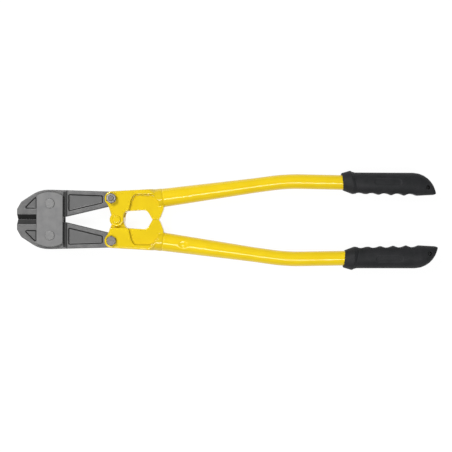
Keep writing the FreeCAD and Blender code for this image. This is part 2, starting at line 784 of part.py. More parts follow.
        # Ledges beside the tongue, where the other head's ears pass.
        ledge = [
            Corner("dims.bay_upper_x - dims.ledge_reach", "-dims.fork_cavity_radius"),
            Corner(d("window_top_x", "ledge_reach"), "-dims.fork_cavity_radius"),
            Corner(d("window_top_x", "ledge_reach"), d("tongue_ledge_y")),
            Corner("dims.bay_upper_x - dims.ledge_reach", d("tongue_ledge_y")),
        ]
        depth = "dims.cheek_half - dims.tongue_half"
        face_recess(body, "tongue_ledge", mirrored(ledge, side), d("cheek_half"), depth)
        hole = d("centre_rivet_radius", "running_gap")
    through = d("cheek_half", "side_gap")
    round_pocket(body, "centre_hole", *centre, hole, through)
    link_y = "%d * dims.link_y" % side
    round_pocket(body, "bolt_hole", d("link_x"), link_y, d("bolt_radius"), through)
    place(body)


make_head("upper_handle_head", 1, True)
make_head("lower_handle_head", -1, False)


# ---------------------------------------------------------------------------------------------
# Handle tubes: tapered from the seam, then bent once so that the grips run nearly parallel
# ---------------------------------------------------------------------------------------------
def section_sketch(body, name, x_expression, y_expression, angle_expression):
    """Sketch square to a direction in the XY plane, given by its angle from the X axis."""
    sketch = new_sketch(body, name, "YZ_Plane")
    turn = FreeCAD.Rotation(FreeCAD.Vector(0, 1, 0), value_of(angle_expression))
    sketch.AttachmentOffset = FreeCAD.Placement(FreeCAD.Vector(0, 0, 0), turn)
    sketch.setExpression("AttachmentOffset.Base.z", x_expression)
    sketch.setExpression("AttachmentOffset.Base.x", y_expression)
    sketch.setExpression("AttachmentOffset.Rotation.Angle", angle_expression)
    return sketch


def make_tube(name, side, extra_length):
    body = new_body(name)
    taper = [
        Corner("0", "dims.tube_seam_radius - dims.tube_wall"),
        Corner(d("taper_length"), "dims.tube_radius - dims.tube_wall"),
        Corner(d("bend_start"), "dims.tube_radius - dims.tube_wall"),
        Corner(d("bend_start"), d("tube_radius")),
        Corner(d("taper_length"), d("tube_radius")),
        Corner("0", d("tube_seam_radius")),
    ]
    revolve(body, "taper", taper, "XY_Plane", "H_Axis", tube_frame(side))
    # Beyond the taper the section follows a bend and a straight tail.
    start_x, start_y = on_tube(d("bend_start"), "0")
    bend = section_sketch(body, "bend_section", start_x, "%d * (%s)" % (side, start_y),
                          "%d * dims.tube_slope" % side)
    add_circle(bend, "0", "0", d("tube_radius"))
    add_circle(bend, "0", "0", "dims.tube_radius - dims.tube_wall")
    path = new_sketch(body, "bend_path", "XY_Plane", tube_frame(side))
    end = on_circle(d("bend_start"), "-dims.bend_radius", d("bend_radius"), "90 - dims.bend_angle")
    tail = "(dims.tube_tail + %s)" % extra_length
    finish = (
        "%s + %s * cos(dims.bend_angle)" % (end[0], tail),
        "%s - %s * sin(dims.bend_angle)" % (end[1], tail),
    )
    add_path(path, side, (d("bend_start"), "0"), end, finish)
    pipe = body.newObject("PartDesign::AdditivePipe", "bend")
    pipe.Profile = bend
    pipe.Spine = (path, ["Edge1", "Edge2"])
    document.recompute()
    # Round crimp that grips the spigot, on the face where the link bolt has its head.
    crimp_x, crimp_y = on_tube(d("crimp_along"), "0")
    taper_rate = "(dims.tube_seam_radius - dims.tube_radius) / dims.taper_length"
    wall_height = "(dims.tube_seam_radius - dims.crimp_along * %s)" % taper_rate
    crimp = body.newObject("PartDesign::SubtractiveSphere", "crimp")
    crimp.AttachmentSupport = (origin_feature(body, "XY_Plane"), [""])
    crimp.MapMode = "FlatFace"
    crimp.setExpression("Radius", d("crimp_radius"))
    crimp.setExpression("AttachmentOffset.Base.x", crimp_x)
    crimp.setExpression("AttachmentOffset.Base.y", "%d * (%s)" % (side, crimp_y))
    height = "%d * (%s - dims.crimp_depth + dims.crimp_radius)" % (-side, wall_height)
    crimp.setExpression("AttachmentOffset.Base.z", height)
    document.recompute()
    place(body)


def add_path(sketch, side, start, end, finish):
    """Arc and tangent line that the axis of the tube follows beyond its taper."""
    def point(pair):
        return FreeCAD.Vector(value_of(pair[0]), side * value_of(pair[1]), 0)

    centre = FreeCAD.Vector(value_of(d("bend_start")), -side * value_of(d("bend_radius")), 0)
    arc = add_arc(sketch, centre, point(start), point(end), side > 0)
    line = sketch.addGeometry(Part.LineSegment(point(end), point(finish)))
    arc_start, arc_end = (2, 1) if side > 0 else (1, 2)
    sketch.addConstraint(Sketcher.Constraint("Coincident", arc, arc_end, line, 1))
    bind_point(sketch, arc, arc_start, start[0], "%d * (%s)" % (side, start[1]))
    bind_point(sketch, line, 1, end[0], "%d * (%s)" % (side, end[1]))
    bind_point(sketch, line, 2, finish[0], "%d * (%s)" % (side, finish[1]))
    bind(sketch, "Radius", (arc,), d("bend_radius"))


make_tube("upper_handle_tube", 1, "0")
make_tube("lower_handle_tube", -1, d("lower_grip_shift"))


# ---------------------------------------------------------------------------------------------
# Grips: oval sleeves with a flared collar, finger scallops and a rounded tail with a hanging hole
# ---------------------------------------------------------------------------------------------
GRIP_SLOPE = "(dims.tube_slope - dims.bend_angle)"


def on_grip(along, across, shift):
    """Expressions for a point along and across the upper grip's axis, from its mouth."""
    bend_end = on_circle(
        d("bend_start"), "-dims.bend_radius", d("bend_radius"), "90 - dims.bend_angle"
    )
    reach = "(dims.grip_mouth + %s + %s)" % (shift, along)
    return on_tube(
        "%s + %s * cos(dims.bend_angle) + (%s) * sin(dims.bend_angle)" % (bend_end[0], reach, across),
        "%s - %s * sin(dims.bend_angle) + (%s) * cos(dims.bend_angle)" % (bend_end[1], reach, across),
    )


def grip_stations():
    """Name, place and size expressions of every oval section along a grip."""
    stations = []
    for station, *_ in GRIP_SECTIONS:
        prefix = "dims.grip_%s_" % station
        sizes = [prefix + "along", prefix + "offset", prefix + "half_width", prefix + "half_thickness"]
        stations.append([station] + sizes)
    thickness_range = "(dims.tail_heel_half_thickness - dims.tail_tip_half_thickness)"
    for angle in TAIL_ANGLES:
        outer = "(dims.tail_radius * cos(%d) - dims.tail_inner_edge)" % angle
        inner = "(dims.tail_inner_rise * sin(%d) - dims.tail_inner_edge)" % angle
        stations.append([
            "tail_%d" % angle,
            "dims.tail_start + dims.tail_radius * sin(%d)" % angle,
            "-(%s + %s) / 2" % (outer, inner),
            "(%s - %s) / 2" % (outer, inner),
            "dims.tail_tip_half_thickness + %s * cos(%d) ^ 2" % (thickness_range, angle),
        ])
    return stations


def make_grip(name, side, shift):
    body = new_body(name)
    angle = "%d * %s" % (side, GRIP_SLOPE)
    sections = []
    for station, along, offset, half_width, half_thickness in grip_stations():
        x, y = on_grip(along, "-(%s)" % offset, shift)
        section = section_sketch(body, station + "_section", x, "%d * (%s)" % (side, y), angle)
        add_ellipse(section, "0", "0", value_of(half_width), value_of(half_thickness))
        sections.append(section)
    document.recompute()
    sleeve = body.newObject("PartDesign::AdditiveLoft", "sleeve")
    sleeve.Profile = sections[0]
    sleeve.Sections = sections[1:]
    sleeve.Ruled = True
    document.recompute()
    # Everything below is drawn in the grip's own frame: X along it, Y away from the other grip.
    mouth_x, mouth_y = on_grip("0", "0", shift)
    frame = {
        "Base.x": mouth_x,
        "Base.y": "%d * (%s)" % (side, mouth_y),
        "Rotation.Angle": angle,
    }
    bore_radius = d("tube_radius", "grip_bore_play")
    bore = [
        Corner("-dims.grip_bore_overrun", "0"),
        Corner(d("grip_bore_depth"), "0"),
        Corner(d("grip_bore_depth"), bore_radius),
        Corner("-dims.grip_bore_overrun", bore_radius),
    ]
    profile = new_sketch(body, "bore_profile", "XY_Plane", frame)
    add_outline(profile, bore)
    feature(body, "Groove", "bore", profile, ReferenceAxis=(profile, ["H_Axis"]), Angle="360")
    finger = new_sketch(body, "finger_circle", "XY_Plane", frame)
    inner = "(dims.grip_palm_offset + dims.grip_palm_half_width + dims.finger_radius)"
    add_circle(finger, d("finger_first"), "%d * (dims.finger_depth - %s)" % (side, inner),
               d("finger_radius"))
    thickness = "4 * dims.grip_collar_half_thickness"
    scallop = feature(body, "Pocket", "finger", finger, SideType="Symmetric", Length=thickness)
    row = body.newObject("PartDesign::LinearPattern", "finger_row")
    row.Originals = [scallop]
    row.Direction = (finger, ["H_Axis"])
    row.setExpression("Length", "dims.finger_pitch * (dims.finger_count - 1)")
    row.Occurrences = int(value_of(d("finger_count")))
    body.Tip = row
    document.recompute()
    # Hole in the tail to hang the tool by, between two small round flats.
    hole_x, hole_y = on_grip(d("hang_hole_along"), "-dims.hang_hole_across", shift)
    hole_y = "%d * (%s)" % (side, hole_y)
    height = "2 * dims.grip_collar_half_thickness"
    sketch = new_sketch(body, "hang_face_circle", offset={"Base.z": height})
    add_circle(sketch, hole_x, hole_y, d("hang_face_radius"))
    flat = feature(body, "Pocket", "hang_face", sketch, Length="%s - dims.hang_face_half" % height)
    mirror = body.newObject("PartDesign::Mirrored", "hang_face_mirror")
    mirror.Originals = [flat]
    mirror.MirrorPlane = (origin_feature(body, "XY_Plane"), [""])
    body.Tip = mirror
    document.recompute()
    round_pocket(body, "hang_hole", hole_x, hole_y, d("hang_hole_radius"), thickness)
    place(body)


make_grip("upper_grip", 1, "0")
make_grip("lower_grip", -1, d("lower_grip_shift"))


# ---------------------------------------------------------------------------------------------
# Fasteners of the two link pivots, each modelled about its own axis. front is 1 where the
# piece is on the front face of the tool and -1 where it is on the rear face.
# ---------------------------------------------------------------------------------------------
def hexagon():
    across_corners = "(dims.hex_across_flats / cos(30))"
    corners = []
    for number in range(6):
        corners.append(Corner(*on_circle("0", "0", across_corners + " / 2", str(30 + 60 * number))))
    return corners


def hex_block(body, name, front, face, height):
    """Hexagonal block standing on a height, its outer corners bevelled as if turned."""
    sketch = new_sketch(body, name + "_outline", offset={"Base.z": "%d * (%s)" % (front, face)})
    add_outline(sketch, hexagon())
    feature(body, "Pad", name, sketch, Length=height, Reversed=front < 0)
    top = "(%s + %s)" % (face, height)
    bevel_start = "(dims.hex_across_flats / 2 - dims.hex_bevel_inset)"
    bevel = [
        Corner(bevel_start, "%d * %s" % (front, top)),
        Corner(d("hex_across_flats"), "%d * %s" % (front, top)),
        Corner(d("hex_across_flats"),
               "%d * (%s - (dims.hex_across_flats - %s) * tan(30))" % (front, top, bevel_start)),
    ]
    profile = new_sketch(body, name + "_bevel_profile", "XZ_Plane")
    add_outline(profile, bevel)
    feature(body, "Groove", name + "_bevel", profile, ReferenceAxis=(profile, ["V_Axis"]), Angle="360")


def make_link_fasteners(prefix, side, head_front):
    link_y = "%d * dims.link_y" % side
    bolt = new_body(prefix + "_link_bolt")
    hex_block(bolt, "head", head_front, d("cheek_half"), d("bolt_head_height"))
    reach = d("cheek_half", "washer_height", "nut_height", "bolt_end")
    shank = new_sketch(bolt, "shank_circle", offset={"Base.z": "%d * dims.cheek_half" % head_front})
    add_circle(shank, "0", "0", d("bolt_radius"))
    feature(bolt, "Pad", "shank", shank, Length="dims.cheek_half + %s" % reach,
            Reversed=head_front > 0)
    end = edge_at_height(value_of(reach))
    dress_edges(bolt, "Chamfer", "end_chamfer", end, d("bolt_end_chamfer"))
    place(bolt, d("link_x"), link_y)
    nut = new_body(prefix + "_link_nut")
    nut_face = d("cheek_half", "washer_height")
    hex_block(nut, "nut", -head_front, nut_face, d("nut_height"))
    hole = new_sketch(nut, "thread_circle")
    add_circle(hole, "0", "0", d("bolt_radius", "running_gap"))
    feature(nut, "Pocket", "thread", hole, SideType="Symmetric", Length="4 * (%s)" % reach)
    place(nut, d("link_x"), link_y)
    washer = new_body(prefix + "_lock_washer")
    inner = d("bolt_radius", "running_gap")
    low = "%d * dims.cheek_half" % -head_front
    high = "%d * (%s)" % (-head_front, nut_face)
    ring = [
        Corner(inner, low),
        Corner(d("washer_radius"), low),
        Corner(d("washer_radius"), high),
        Corner(inner, high),
    ]
    revolve(washer, "split_ring", ring, "XZ_Plane", "V_Axis", angle=d("washer_split_angle"))
    place(washer, d("link_x"), link_y)


make_link_fasteners("upper", 1, -1)
make_link_fasteners("lower", -1, 1)

washer = new_body("centre_washer")
washer_profile = [
    Corner(d("centre_rivet_radius"), "-dims.cheek_half"),
    Corner(d("centre_washer_radius"), "-dims.cheek_half"),
    Corner(d("centre_washer_radius"), "-(%s)" % d("cheek_half", "centre_washer_height")),
    Corner(d("centre_rivet_radius"), "-(%s)" % d("cheek_half", "centre_washer_height")),
]
revolve(washer, "ring", washer_profile, "XZ_Plane", "V_Axis")
place(washer, d("centre_x"))

document.recompute()
os.makedirs("parts", exist_ok=True)
for item in document.Objects:
    if "Invalid" in item.State or "Error" in item.State:
        raise SystemExit("failed: %s %s" % (item.Name, item.State))
for body in finished:
    shape = body.Shape
    if shape.isNull() or not shape.isValid():
        raise SystemExit("bad shape: " + body.Label)
    print(body.Label, round(shape.Volume, 1), len(shape.Solids), shape.BoundBox)
    shape.exportStep("parts/%s.step" % body.Label)
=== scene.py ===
import json
import math

import bmesh
import bpy
import numpy as np
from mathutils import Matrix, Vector


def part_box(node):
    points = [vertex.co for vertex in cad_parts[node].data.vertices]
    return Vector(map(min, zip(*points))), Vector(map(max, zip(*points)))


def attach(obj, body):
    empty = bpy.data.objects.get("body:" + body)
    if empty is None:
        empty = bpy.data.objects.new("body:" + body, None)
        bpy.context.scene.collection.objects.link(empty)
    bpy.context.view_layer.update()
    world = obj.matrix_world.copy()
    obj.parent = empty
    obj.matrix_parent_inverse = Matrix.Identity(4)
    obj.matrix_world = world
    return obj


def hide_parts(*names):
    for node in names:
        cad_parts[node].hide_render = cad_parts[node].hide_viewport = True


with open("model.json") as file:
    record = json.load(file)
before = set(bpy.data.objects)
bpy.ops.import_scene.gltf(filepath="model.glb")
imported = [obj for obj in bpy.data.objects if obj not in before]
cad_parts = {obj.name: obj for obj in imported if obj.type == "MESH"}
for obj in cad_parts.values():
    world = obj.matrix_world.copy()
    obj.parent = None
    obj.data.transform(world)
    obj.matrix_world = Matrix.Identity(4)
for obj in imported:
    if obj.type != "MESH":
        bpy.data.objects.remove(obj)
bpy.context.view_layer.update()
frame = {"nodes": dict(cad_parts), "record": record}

# Visual model of a pair of bolt cutters about 610 mm long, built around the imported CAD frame.
# Lengths are millimetres and become metres through MM where they meet Blender. Only the floor
# and the lights are placed in metres. Colours are linear red, green and blue.
MM = 0.001
scene = bpy.context.scene

# ---------------------------------------------------------------------------------------------
# Places: from the frame where it says them, else from a few driving dimensions
# ---------------------------------------------------------------------------------------------
JOINTS = {joint["name"]: joint for joint in frame["record"]["behaviour"]["joints"]}
HINGE = Vector(JOINTS["handle_hinge"]["pos_m"]) / MM
MID_HEIGHT = HINGE.z
PLATE_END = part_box("front_side_plate")[1].x / MM

TUBE_SLOPE = math.radians(7.9)
BEND_ANGLE = math.radians(8.95)
BEND_RADIUS = 280
BEND_START = 158
BEND_LENGTH = BEND_RADIUS * BEND_ANGLE
TUBE_TAIL = 160
TAPER_LENGTH = 133
SEAM_RADIUS = 13.5
TUBE_RADIUS = 10.7
TUBE_WALL = 2
SEAM_FROM_HINGE = 66.1
SEAM_ACROSS = 31.8
GRIP_MOUTH = 59.5
GRIP_SHIFT = {"upper": 0.0, "lower": 2.9}
SIDE = {"upper": 1, "lower": -1}


# ---------------------------------------------------------------------------------------------
# Material helpers
# ---------------------------------------------------------------------------------------------
class Surface:
    """One procedural material: the shader and short ways to wire textures into it."""

    def __init__(self, name, color, metallic, roughness):
        self.material = bpy.data.materials.new(name)
        self.material.use_nodes = True
        self.tree = self.material.node_tree
        self.shader = self.tree.nodes["Principled BSDF"]
        self.shader.inputs["Base Color"].default_value = (*color, 1)
        self.shader.inputs["Metallic"].default_value = metallic
        self.shader.inputs["Roughness"].default_value = roughness
        self.place = self.add("ShaderNodeTexCoord").outputs["Object"]

    def add(self, kind, **settings):
        node = self.tree.nodes.new(kind)
        for field, value in settings.items():
            setattr(node, field, value)
        return node

    def feed(self, socket, source):
        """Links an output to a socket, or sets the socket to a constant."""
        if isinstance(source, bpy.types.NodeSocket):
            self.tree.links.new(source, socket)
        else:
            socket.default_value = source

    def stretched(self, x, y, z):
        """Object coordinates scaled along each axis, for brushed or drawn patterns."""
        node = self.add("ShaderNodeMapping")
        self.feed(node.inputs["Vector"], self.place)
        node.inputs["Scale"].default_value = (x, y, z)
        return node.outputs["Vector"]

    def noise(self, size, detail=3.0, rough=0.55, where=None):
        """Cloudy pattern with features of about the given size in millimetres."""
        node = self.add("ShaderNodeTexNoise")
        self.feed(node.inputs["Vector"], where or self.place)
        node.inputs["Scale"].default_value = 1 / (size * MM)
        node.inputs["Detail"].default_value = detail
        node.inputs["Roughness"].default_value = rough
        return node.outputs["Fac"]

    def cells(self, size):
        """Rounded pebble pattern with cells of about the given size in millimetres."""
        node = self.add("ShaderNodeTexVoronoi", feature="SMOOTH_F1")
        self.feed(node.inputs["Vector"], self.place)
        node.inputs["Scale"].default_value = 1 / (size * MM)
        return node.outputs["Distance"]

    def ramp(self, source, low, high, start=0.0, end=1.0):
        """Maps a value range onto two numbers."""
        node = self.add("ShaderNodeMapRange")
        self.feed(node.inputs["Value"], source)
        node.inputs["From Min"].default_value = start
        node.inputs["From Max"].default_value = end
        node.inputs["To Min"].default_value = low
        node.inputs["To Max"].default_value = high
        return node.outputs["Result"]

    def blend(self, amount, first, second):
        """Mixes two colours, each a tuple or an output."""
        node = self.add("ShaderNodeMix", data_type="RGBA")
        self.feed(node.inputs["Factor"], amount)
        for socket, value in ((node.inputs[6], first), (node.inputs[7], second)):
            self.feed(socket, (*value, 1) if isinstance(value, tuple) else value)
        return node.outputs[2]

    def attribute(self, name):
        return self.add("ShaderNodeAttribute", attribute_name=name).outputs["Fac"]

    def edges(self, low, high):
        """1 on outward edges and 0 elsewhere, from the local sharpness of the mesh."""
        sharpness = self.add("ShaderNodeNewGeometry").outputs["Pointiness"]
        return self.ramp(sharpness, 0, 1, low, high)

    def color(self, source):
        self.feed(self.shader.inputs["Base Color"], source)

    def roughness(self, source):
        self.feed(self.shader.inputs["Roughness"], source)

    def bumps(self, *layers):
        """Stacks height layers, each a (pattern, height in millimetres) pair."""
        normal = None
        for pattern, height in layers:
            node = self.add("ShaderNodeBump")
            node.inputs["Distance"].default_value = height * MM
            self.feed(node.inputs["Height"], pattern)
            if normal is not None:
                self.feed(node.inputs["Normal"], normal)
            normal = node.outputs["Normal"]
        self.feed(self.shader.inputs["Normal"], normal)


def yellow_enamel(name, forged, dark, light):
    """Glossy yellow enamel, over rough forged metal or over smooth tube."""
    surface = Surface(name, light, 0.0, 0.4)
    surface.shader.inputs["Coat Weight"].default_value = 1.0
    surface.shader.inputs["Coat Roughness"].default_value = 0.1
    surface.shader.inputs["Specular IOR Level"].default_value = 0.0
    cloud = surface.ramp(surface.noise(26, 3), 0, 1, 0.35, 0.65)
    tone = surface.blend(cloud, dark, light)
    # Painted highlight: the outward edges are a lighter yellow.
    edge_highlight = surface.edges(0.53, 0.60)
    surface.color(surface.blend(surface.ramp(edge_highlight, 0, 0.35), tone, (0.86, 0.68, 0.04)))
    surface.roughness(surface.ramp(surface.noise(6, 4), 0.32, 0.46))
    peel = (surface.noise(1.6, 2), 0.02)
    if forged:
        surface.bumps((surface.noise(11, 3), 0.16), (surface.noise(3.2, 2), 0.05), peel)
    else:
        surface.bumps((surface.noise(30, 2), 0.05), peel)
    return surface.material


def jaw_steel():
    """Forged, shot-blasted and lacquered grey steel, with painted shade in hollows, on recess walls
    and in the step past the plates, and dark ground edges partly painted shade.
    """
    surface = Surface("jaw_steel_finish", (0.11, 0.11, 0.11), 0.35, 0.52)
    cloud = surface.ramp(surface.noise(9, 4), 0, 1, 0.3, 0.7)
    face = surface.blend(cloud, (0.092, 0.092, 0.093), (0.124, 0.123, 0.122))
    scratch = surface.noise(1.2, 3, where=surface.stretched(0.12, 1, 1))
    face = surface.blend(surface.ramp(scratch, 0, 0.35, 0.5, 0.8), face, (0.16, 0.157, 0.154))
    # Painted shade: faces sunk below the jaw's face are darker.
    sunk = surface.ramp(surface.attribute("hollow_painted_shade"), 0, 0.7)
    hollow_painted_shade = surface.blend(sunk, face, (0.092, 0.092, 0.092))
    # Painted shade on the recess walls and painted shadow in the step past the plates.
    with_wall_shade = surface.blend(surface.attribute("wall_painted_shade"), hollow_painted_shade, (0.010, 0.010, 0.010))
    # The ground bevels are darker steel, with painted shade making the upper bevel darker still.
    ground_and_shade = surface.blend(surface.attribute("ground_and_shade"), with_wall_shade, (0.009, 0.009, 0.009))
    surface.color(ground_and_shade)
    surface.roughness(surface.ramp(surface.noise(2.5, 3), 0.4, 0.56))
    surface.bumps((surface.noise(7, 3), 0.08), (surface.noise(0.9, 2), 0.03), (scratch, 0.015))
    return surface.material


def plate_steel():
    """Satin steel plate, ground along its length."""
    surface = Surface("plate_steel_finish", (0.16, 0.16, 0.16), 0.4, 0.48)
    lines = surface.noise(0.8, 3, where=surface.stretched(1, 0.05, 1))
    cloud = surface.ramp(surface.noise(12, 3), 0, 1, 0.35, 0.65)
    tone = surface.blend(cloud, (0.146, 0.146, 0.147), (0.170, 0.169, 0.168))
    surface.color(surface.blend(surface.ramp(lines, 0, 0.3, 0.5, 0.75), tone, (0.20, 0.20, 0.20)))
    surface.roughness(surface.ramp(lines, 0.38, 0.5, 0.3, 0.7))
    surface.bumps((surface.noise(14, 2), 0.05), (lines, 0.012))
    return surface.material


def rivet_steel():
    """Pressed rivet head, a little lighter than the plate."""
    surface = Surface("rivet_steel_finish", (0.18, 0.18, 0.18), 0.4, 0.46)
    cloud = surface.ramp(surface.noise(3, 3), 0, 1, 0.3, 0.7)
    surface.color(surface.blend(cloud, (0.165, 0.165, 0.165), (0.20, 0.199, 0.197)))
    surface.roughness(surface.ramp(surface.noise(1.5, 3), 0.34, 0.48))
    surface.bumps((surface.noise(2.5, 3), 0.05), (surface.noise(0.6, 2), 0.012))
    return surface.material


def zinc_steel(name, dark, light):
    """Zinc plated fastener with slight tarnish."""
    surface = Surface(name, light, 1.0, 0.3)
    cloud = surface.ramp(surface.noise(2.4, 4), 0, 1, 0.3, 0.7)
    surface.color(surface.blend(cloud, dark, light))
    surface.roughness(surface.ramp(surface.noise(1.4, 3), 0.24, 0.42))
    surface.bumps((surface.noise(1.8, 3), 0.03))
    return surface.material


def grip_rubber():
    """Black moulded grip with a fine pebbled skin, dusty in patches and lighter on outward edges,
    with painted shade inside the hanging hole.
    """
    surface = Surface("grip_rubber_finish", (0.02, 0.022, 0.023), 0.0, 0.5)
    surface.shader.inputs["Specular IOR Level"].default_value = 0.17
    cloud = surface.ramp(surface.noise(18, 4), 0, 1, 0.35, 0.7)
    tone = surface.blend(cloud, (0.015, 0.016, 0.017), (0.023, 0.023, 0.025))
    # Outward edges are a lighter grey.
    lighter_edges = surface.edges(0.51, 0.56)
    skin = surface.blend(surface.ramp(lighter_edges, 0, 0.4), tone, (0.06, 0.06, 0.062))
    # Painted shade: the inside of the hanging hole is near black.
    surface.color(surface.blend(surface.attribute("hole_painted_shade"), skin, (0.001, 0.001, 0.001)))
    surface.roughness(surface.ramp(surface.noise(5, 4), 0.5, 0.66))
    surface.bumps((surface.noise(14, 2), 0.1), (surface.cells(0.7), 0.05))
    return surface.material


FORGED_YELLOW = ((0.69, 0.492, 0.006), (0.745, 0.54, 0.007))
TUBE_YELLOW = ((0.77, 0.545, 0.006), (0.80, 0.575, 0.008))
FINISH = {
    "jaw_steel": jaw_steel(),
    "plate_steel": plate_steel(),
    "rivet_steel": rivet_steel(),
    "zinc_steel": zinc_steel("zinc_steel_finish", (0.19, 0.175, 0.163), (0.29, 0.27, 0.255)),
    "yellow_paint": yellow_enamel("forged_yellow_enamel", True, *FORGED_YELLOW),
    "grip_rubber": grip_rubber(),
}
TUBE_ENAMEL = yellow_enamel("tube_yellow_enamel", False, *TUBE_YELLOW)


# ---------------------------------------------------------------------------------------------
# Mesh helpers
# ---------------------------------------------------------------------------------------------
CLOSED_GAP = 0.02
CLOSING_REACH = 1.2
NEAR_CENTRELINE = 1
NEAREST_PERCENT = 10
WELD_DISTANCE = 0.002


def new_piece(name, mesh, body, slot_name, finish, *nodes):
    """Object from a mesh, riding on a body in place of some CAD nodes."""
    piece = bpy.data.objects.new(name, mesh)
    scene.collection.objects.link(piece)
    mesh.materials.clear()
    mesh.materials.append(finish)
    mesh.shade_smooth()
    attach(piece, body)
    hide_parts(*nodes)


def remeshed(node, voxel, rounds):
    """Soft-edged mesh of a CAD node: evenly remeshed, then relaxed."""
    mesh = frame["nodes"][node].data.copy()
    work = bmesh.new()
    work.from_mesh(mesh)
    bmesh.ops.remove_doubles(work, verts=work.verts, dist=WELD_DISTANCE * MM)
    work.to_mesh(mesh)
    work.free()
    helper = bpy.data.objects.new("helper", mesh)
    scene.collection.objects.link(helper)
    remesh = helper.modifiers.new("remesh", "REMESH")
    remesh.mode = "VOXEL"
    remesh.voxel_size = voxel * MM
    relax = helper.modifiers.new("relax", "SMOOTH")
    relax.factor = 0.5
    relax.iterations = rounds
    graph = bpy.context.evaluated_depsgraph_get()
    result = bpy.data.meshes.new_from_object(helper.evaluated_get(graph))
    bpy.data.objects.remove(helper)
    return result


def points_of(mesh):
    """Vertex places in millimetres, as an array of rows."""
    flat = np.empty(len(mesh.vertices) * 3, dtype=np.float32)
    mesh.vertices.foreach_get("co", flat)
    return flat.reshape(-1, 3).astype(float) / MM


def normals_of(mesh):
    flat = np.empty(len(mesh.vertices) * 3, dtype=np.float32)
    mesh.vertex_normals.foreach_get("vector", flat)
    return flat.reshape(-1, 3).astype(float)


def move_points(mesh, points):
    mesh.vertices.foreach_set("co", (points * MM).astype(np.float32).ravel())
    mesh.update()


def add_mask(mesh, name, values):
    """Stores a number per vertex for the material to read."""
    layer = mesh.attributes.new(name, "FLOAT", "POINT")
    layer.data.foreach_set("value", values.astype(np.float32))


def close_up(mesh, points, across, wanted):
    """Moves the innermost points among the wanted ones up to the centreline, so that the two
    halves meet there; the points beside them follow part of the way."""
    lowest = np.percentile(across[wanted & (across < NEAR_CENTRELINE)], NEAREST_PERCENT)
    following = 1 - smooth_step(across, lowest, lowest + CLOSING_REACH)
    closing = (lowest - CLOSED_GAP) * following * wanted
    points[:, 1] -= np.sign(points[:, 1]) * np.minimum(closing, across - CLOSED_GAP)
    move_points(mesh, points)


def smooth_step(values, start, end):
    """0 before the start, 1 past the end and an S-shaped rise between them."""
    part = np.clip((values - start) / (end - start), 0, 1)
    return part * part * (3 - 2 * part)


# ---------------------------------------------------------------------------------------------
# Jaws
# ---------------------------------------------------------------------------------------------
JAW_VOXEL = 0.5
JAW_ROUNDS = 3
BLADE_HALF = 7
TAIL_HALF = 9
# The bevels: how far they reach from the centreline and along the blade, and how deep they start.
BEVEL_REACH = 7.5
BLADE_BEFORE_PLATE_END = 10
MOUTH_BEFORE_PLATE_END = 37
BEVEL_SUNK = 0.25
# How dark the bevels are painted: partly the darker ground steel, partly painted shade that makes the
# upper bevel darker than the lower.
GROUND_AND_SHADE_DARKNESS = {"upper": 0.9, "lower": 0.5}
# Ranges over which a mask changes: depth below the face, and how squarely the surface faces up.
HOLLOW_SUNK = (0.8, 1.4)
HOLLOW_FACING = (0.93, 0.99)
WALL_SUNK = (0.2, 0.5)
WALL_FACING = (0.84, 0.96)
# The step past the end of the plates, darkened with painted shadow, and the shoulder there.
SHOULDER_FROM_PLATE = 3.5
STEP_START = (-0.8, 0)
STEP_END = (2.8, 3.8)
STEP_REACH = 40
STEP_BELOW_TAIL = 0.5
SHOULDER_ZONE = (1, 6)
SHOULDER_TILT = 0.03
SHOULDER_RISE = 0.02
SHOULDER_RELIEF = 0.9


def make_jaw(which):
    mesh = remeshed(which + "_jaw", JAW_VOXEL, JAW_ROUNDS)
    points = points_of(mesh)
    normals = normals_of(mesh)
    across = np.abs(points[:, 1])
    height = np.abs(points[:, 2] - MID_HEIGHT)
    facing = np.abs(normals[:, 2])
    past_plate = points[:, 0] - PLATE_END
    sunk = np.where(past_plate > SHOULDER_FROM_PLATE, TAIL_HALF, BLADE_HALF) - height
    bevel = (across < BEVEL_REACH) & (past_plate < -BLADE_BEFORE_PLATE_END) & (sunk > BEVEL_SUNK)
    # Dark ground bevels: darker steel there, and on the upper jaw darker still as painted shade.
    add_mask(mesh, "ground_and_shade", bevel * GROUND_AND_SHADE_DARKNESS[which])
    # Painted shade in the hollows, where the face lies sunk below its level and faces up.
    add_mask(mesh, "hollow_painted_shade", smooth_step(sunk, *HOLLOW_SUNK) * smooth_step(facing, *HOLLOW_FACING))
    # Painted shade on the sloped recess walls and painted shadow in the narrow step past the plates.
    recess_wall = (1 - smooth_step(facing, *WALL_FACING)) * smooth_step(sunk, *WALL_SUNK) * ~bevel
    step = smooth_step(past_plate, *STEP_START) * (1 - smooth_step(past_plate, *STEP_END))
    step *= (height < TAIL_HALF - STEP_BELOW_TAIL) & (across < STEP_REACH)
    add_mask(mesh, "wall_painted_shade", np.maximum(recess_wall, step))
    # The shoulder stands back from its CAD place, clear of the side plates as they swing.
    shoulder = (past_plate > SHOULDER_ZONE[0]) & (past_plate < SHOULDER_ZONE[1])
    shoulder &= (normals[:, 0] < -SHOULDER_TILT) & (height > BLADE_HALF + SHOULDER_RISE)
    points[:, 0] += SHOULDER_RELIEF * shoulder
    # The cutting edges meet.
    close_up(mesh, points, across, past_plate < -MOUTH_BEFORE_PLATE_END)
    new_piece(which + "_jaw_forging", mesh, which + "_jaw", "jaw_steel",
              FINISH["jaw_steel"], which + "_jaw")


# ---------------------------------------------------------------------------------------------
# Handle heads
# ---------------------------------------------------------------------------------------------
HEAD_VOXEL = 0.55
HEAD_ROUNDS = 8
LUG_FROM_HINGE = 48


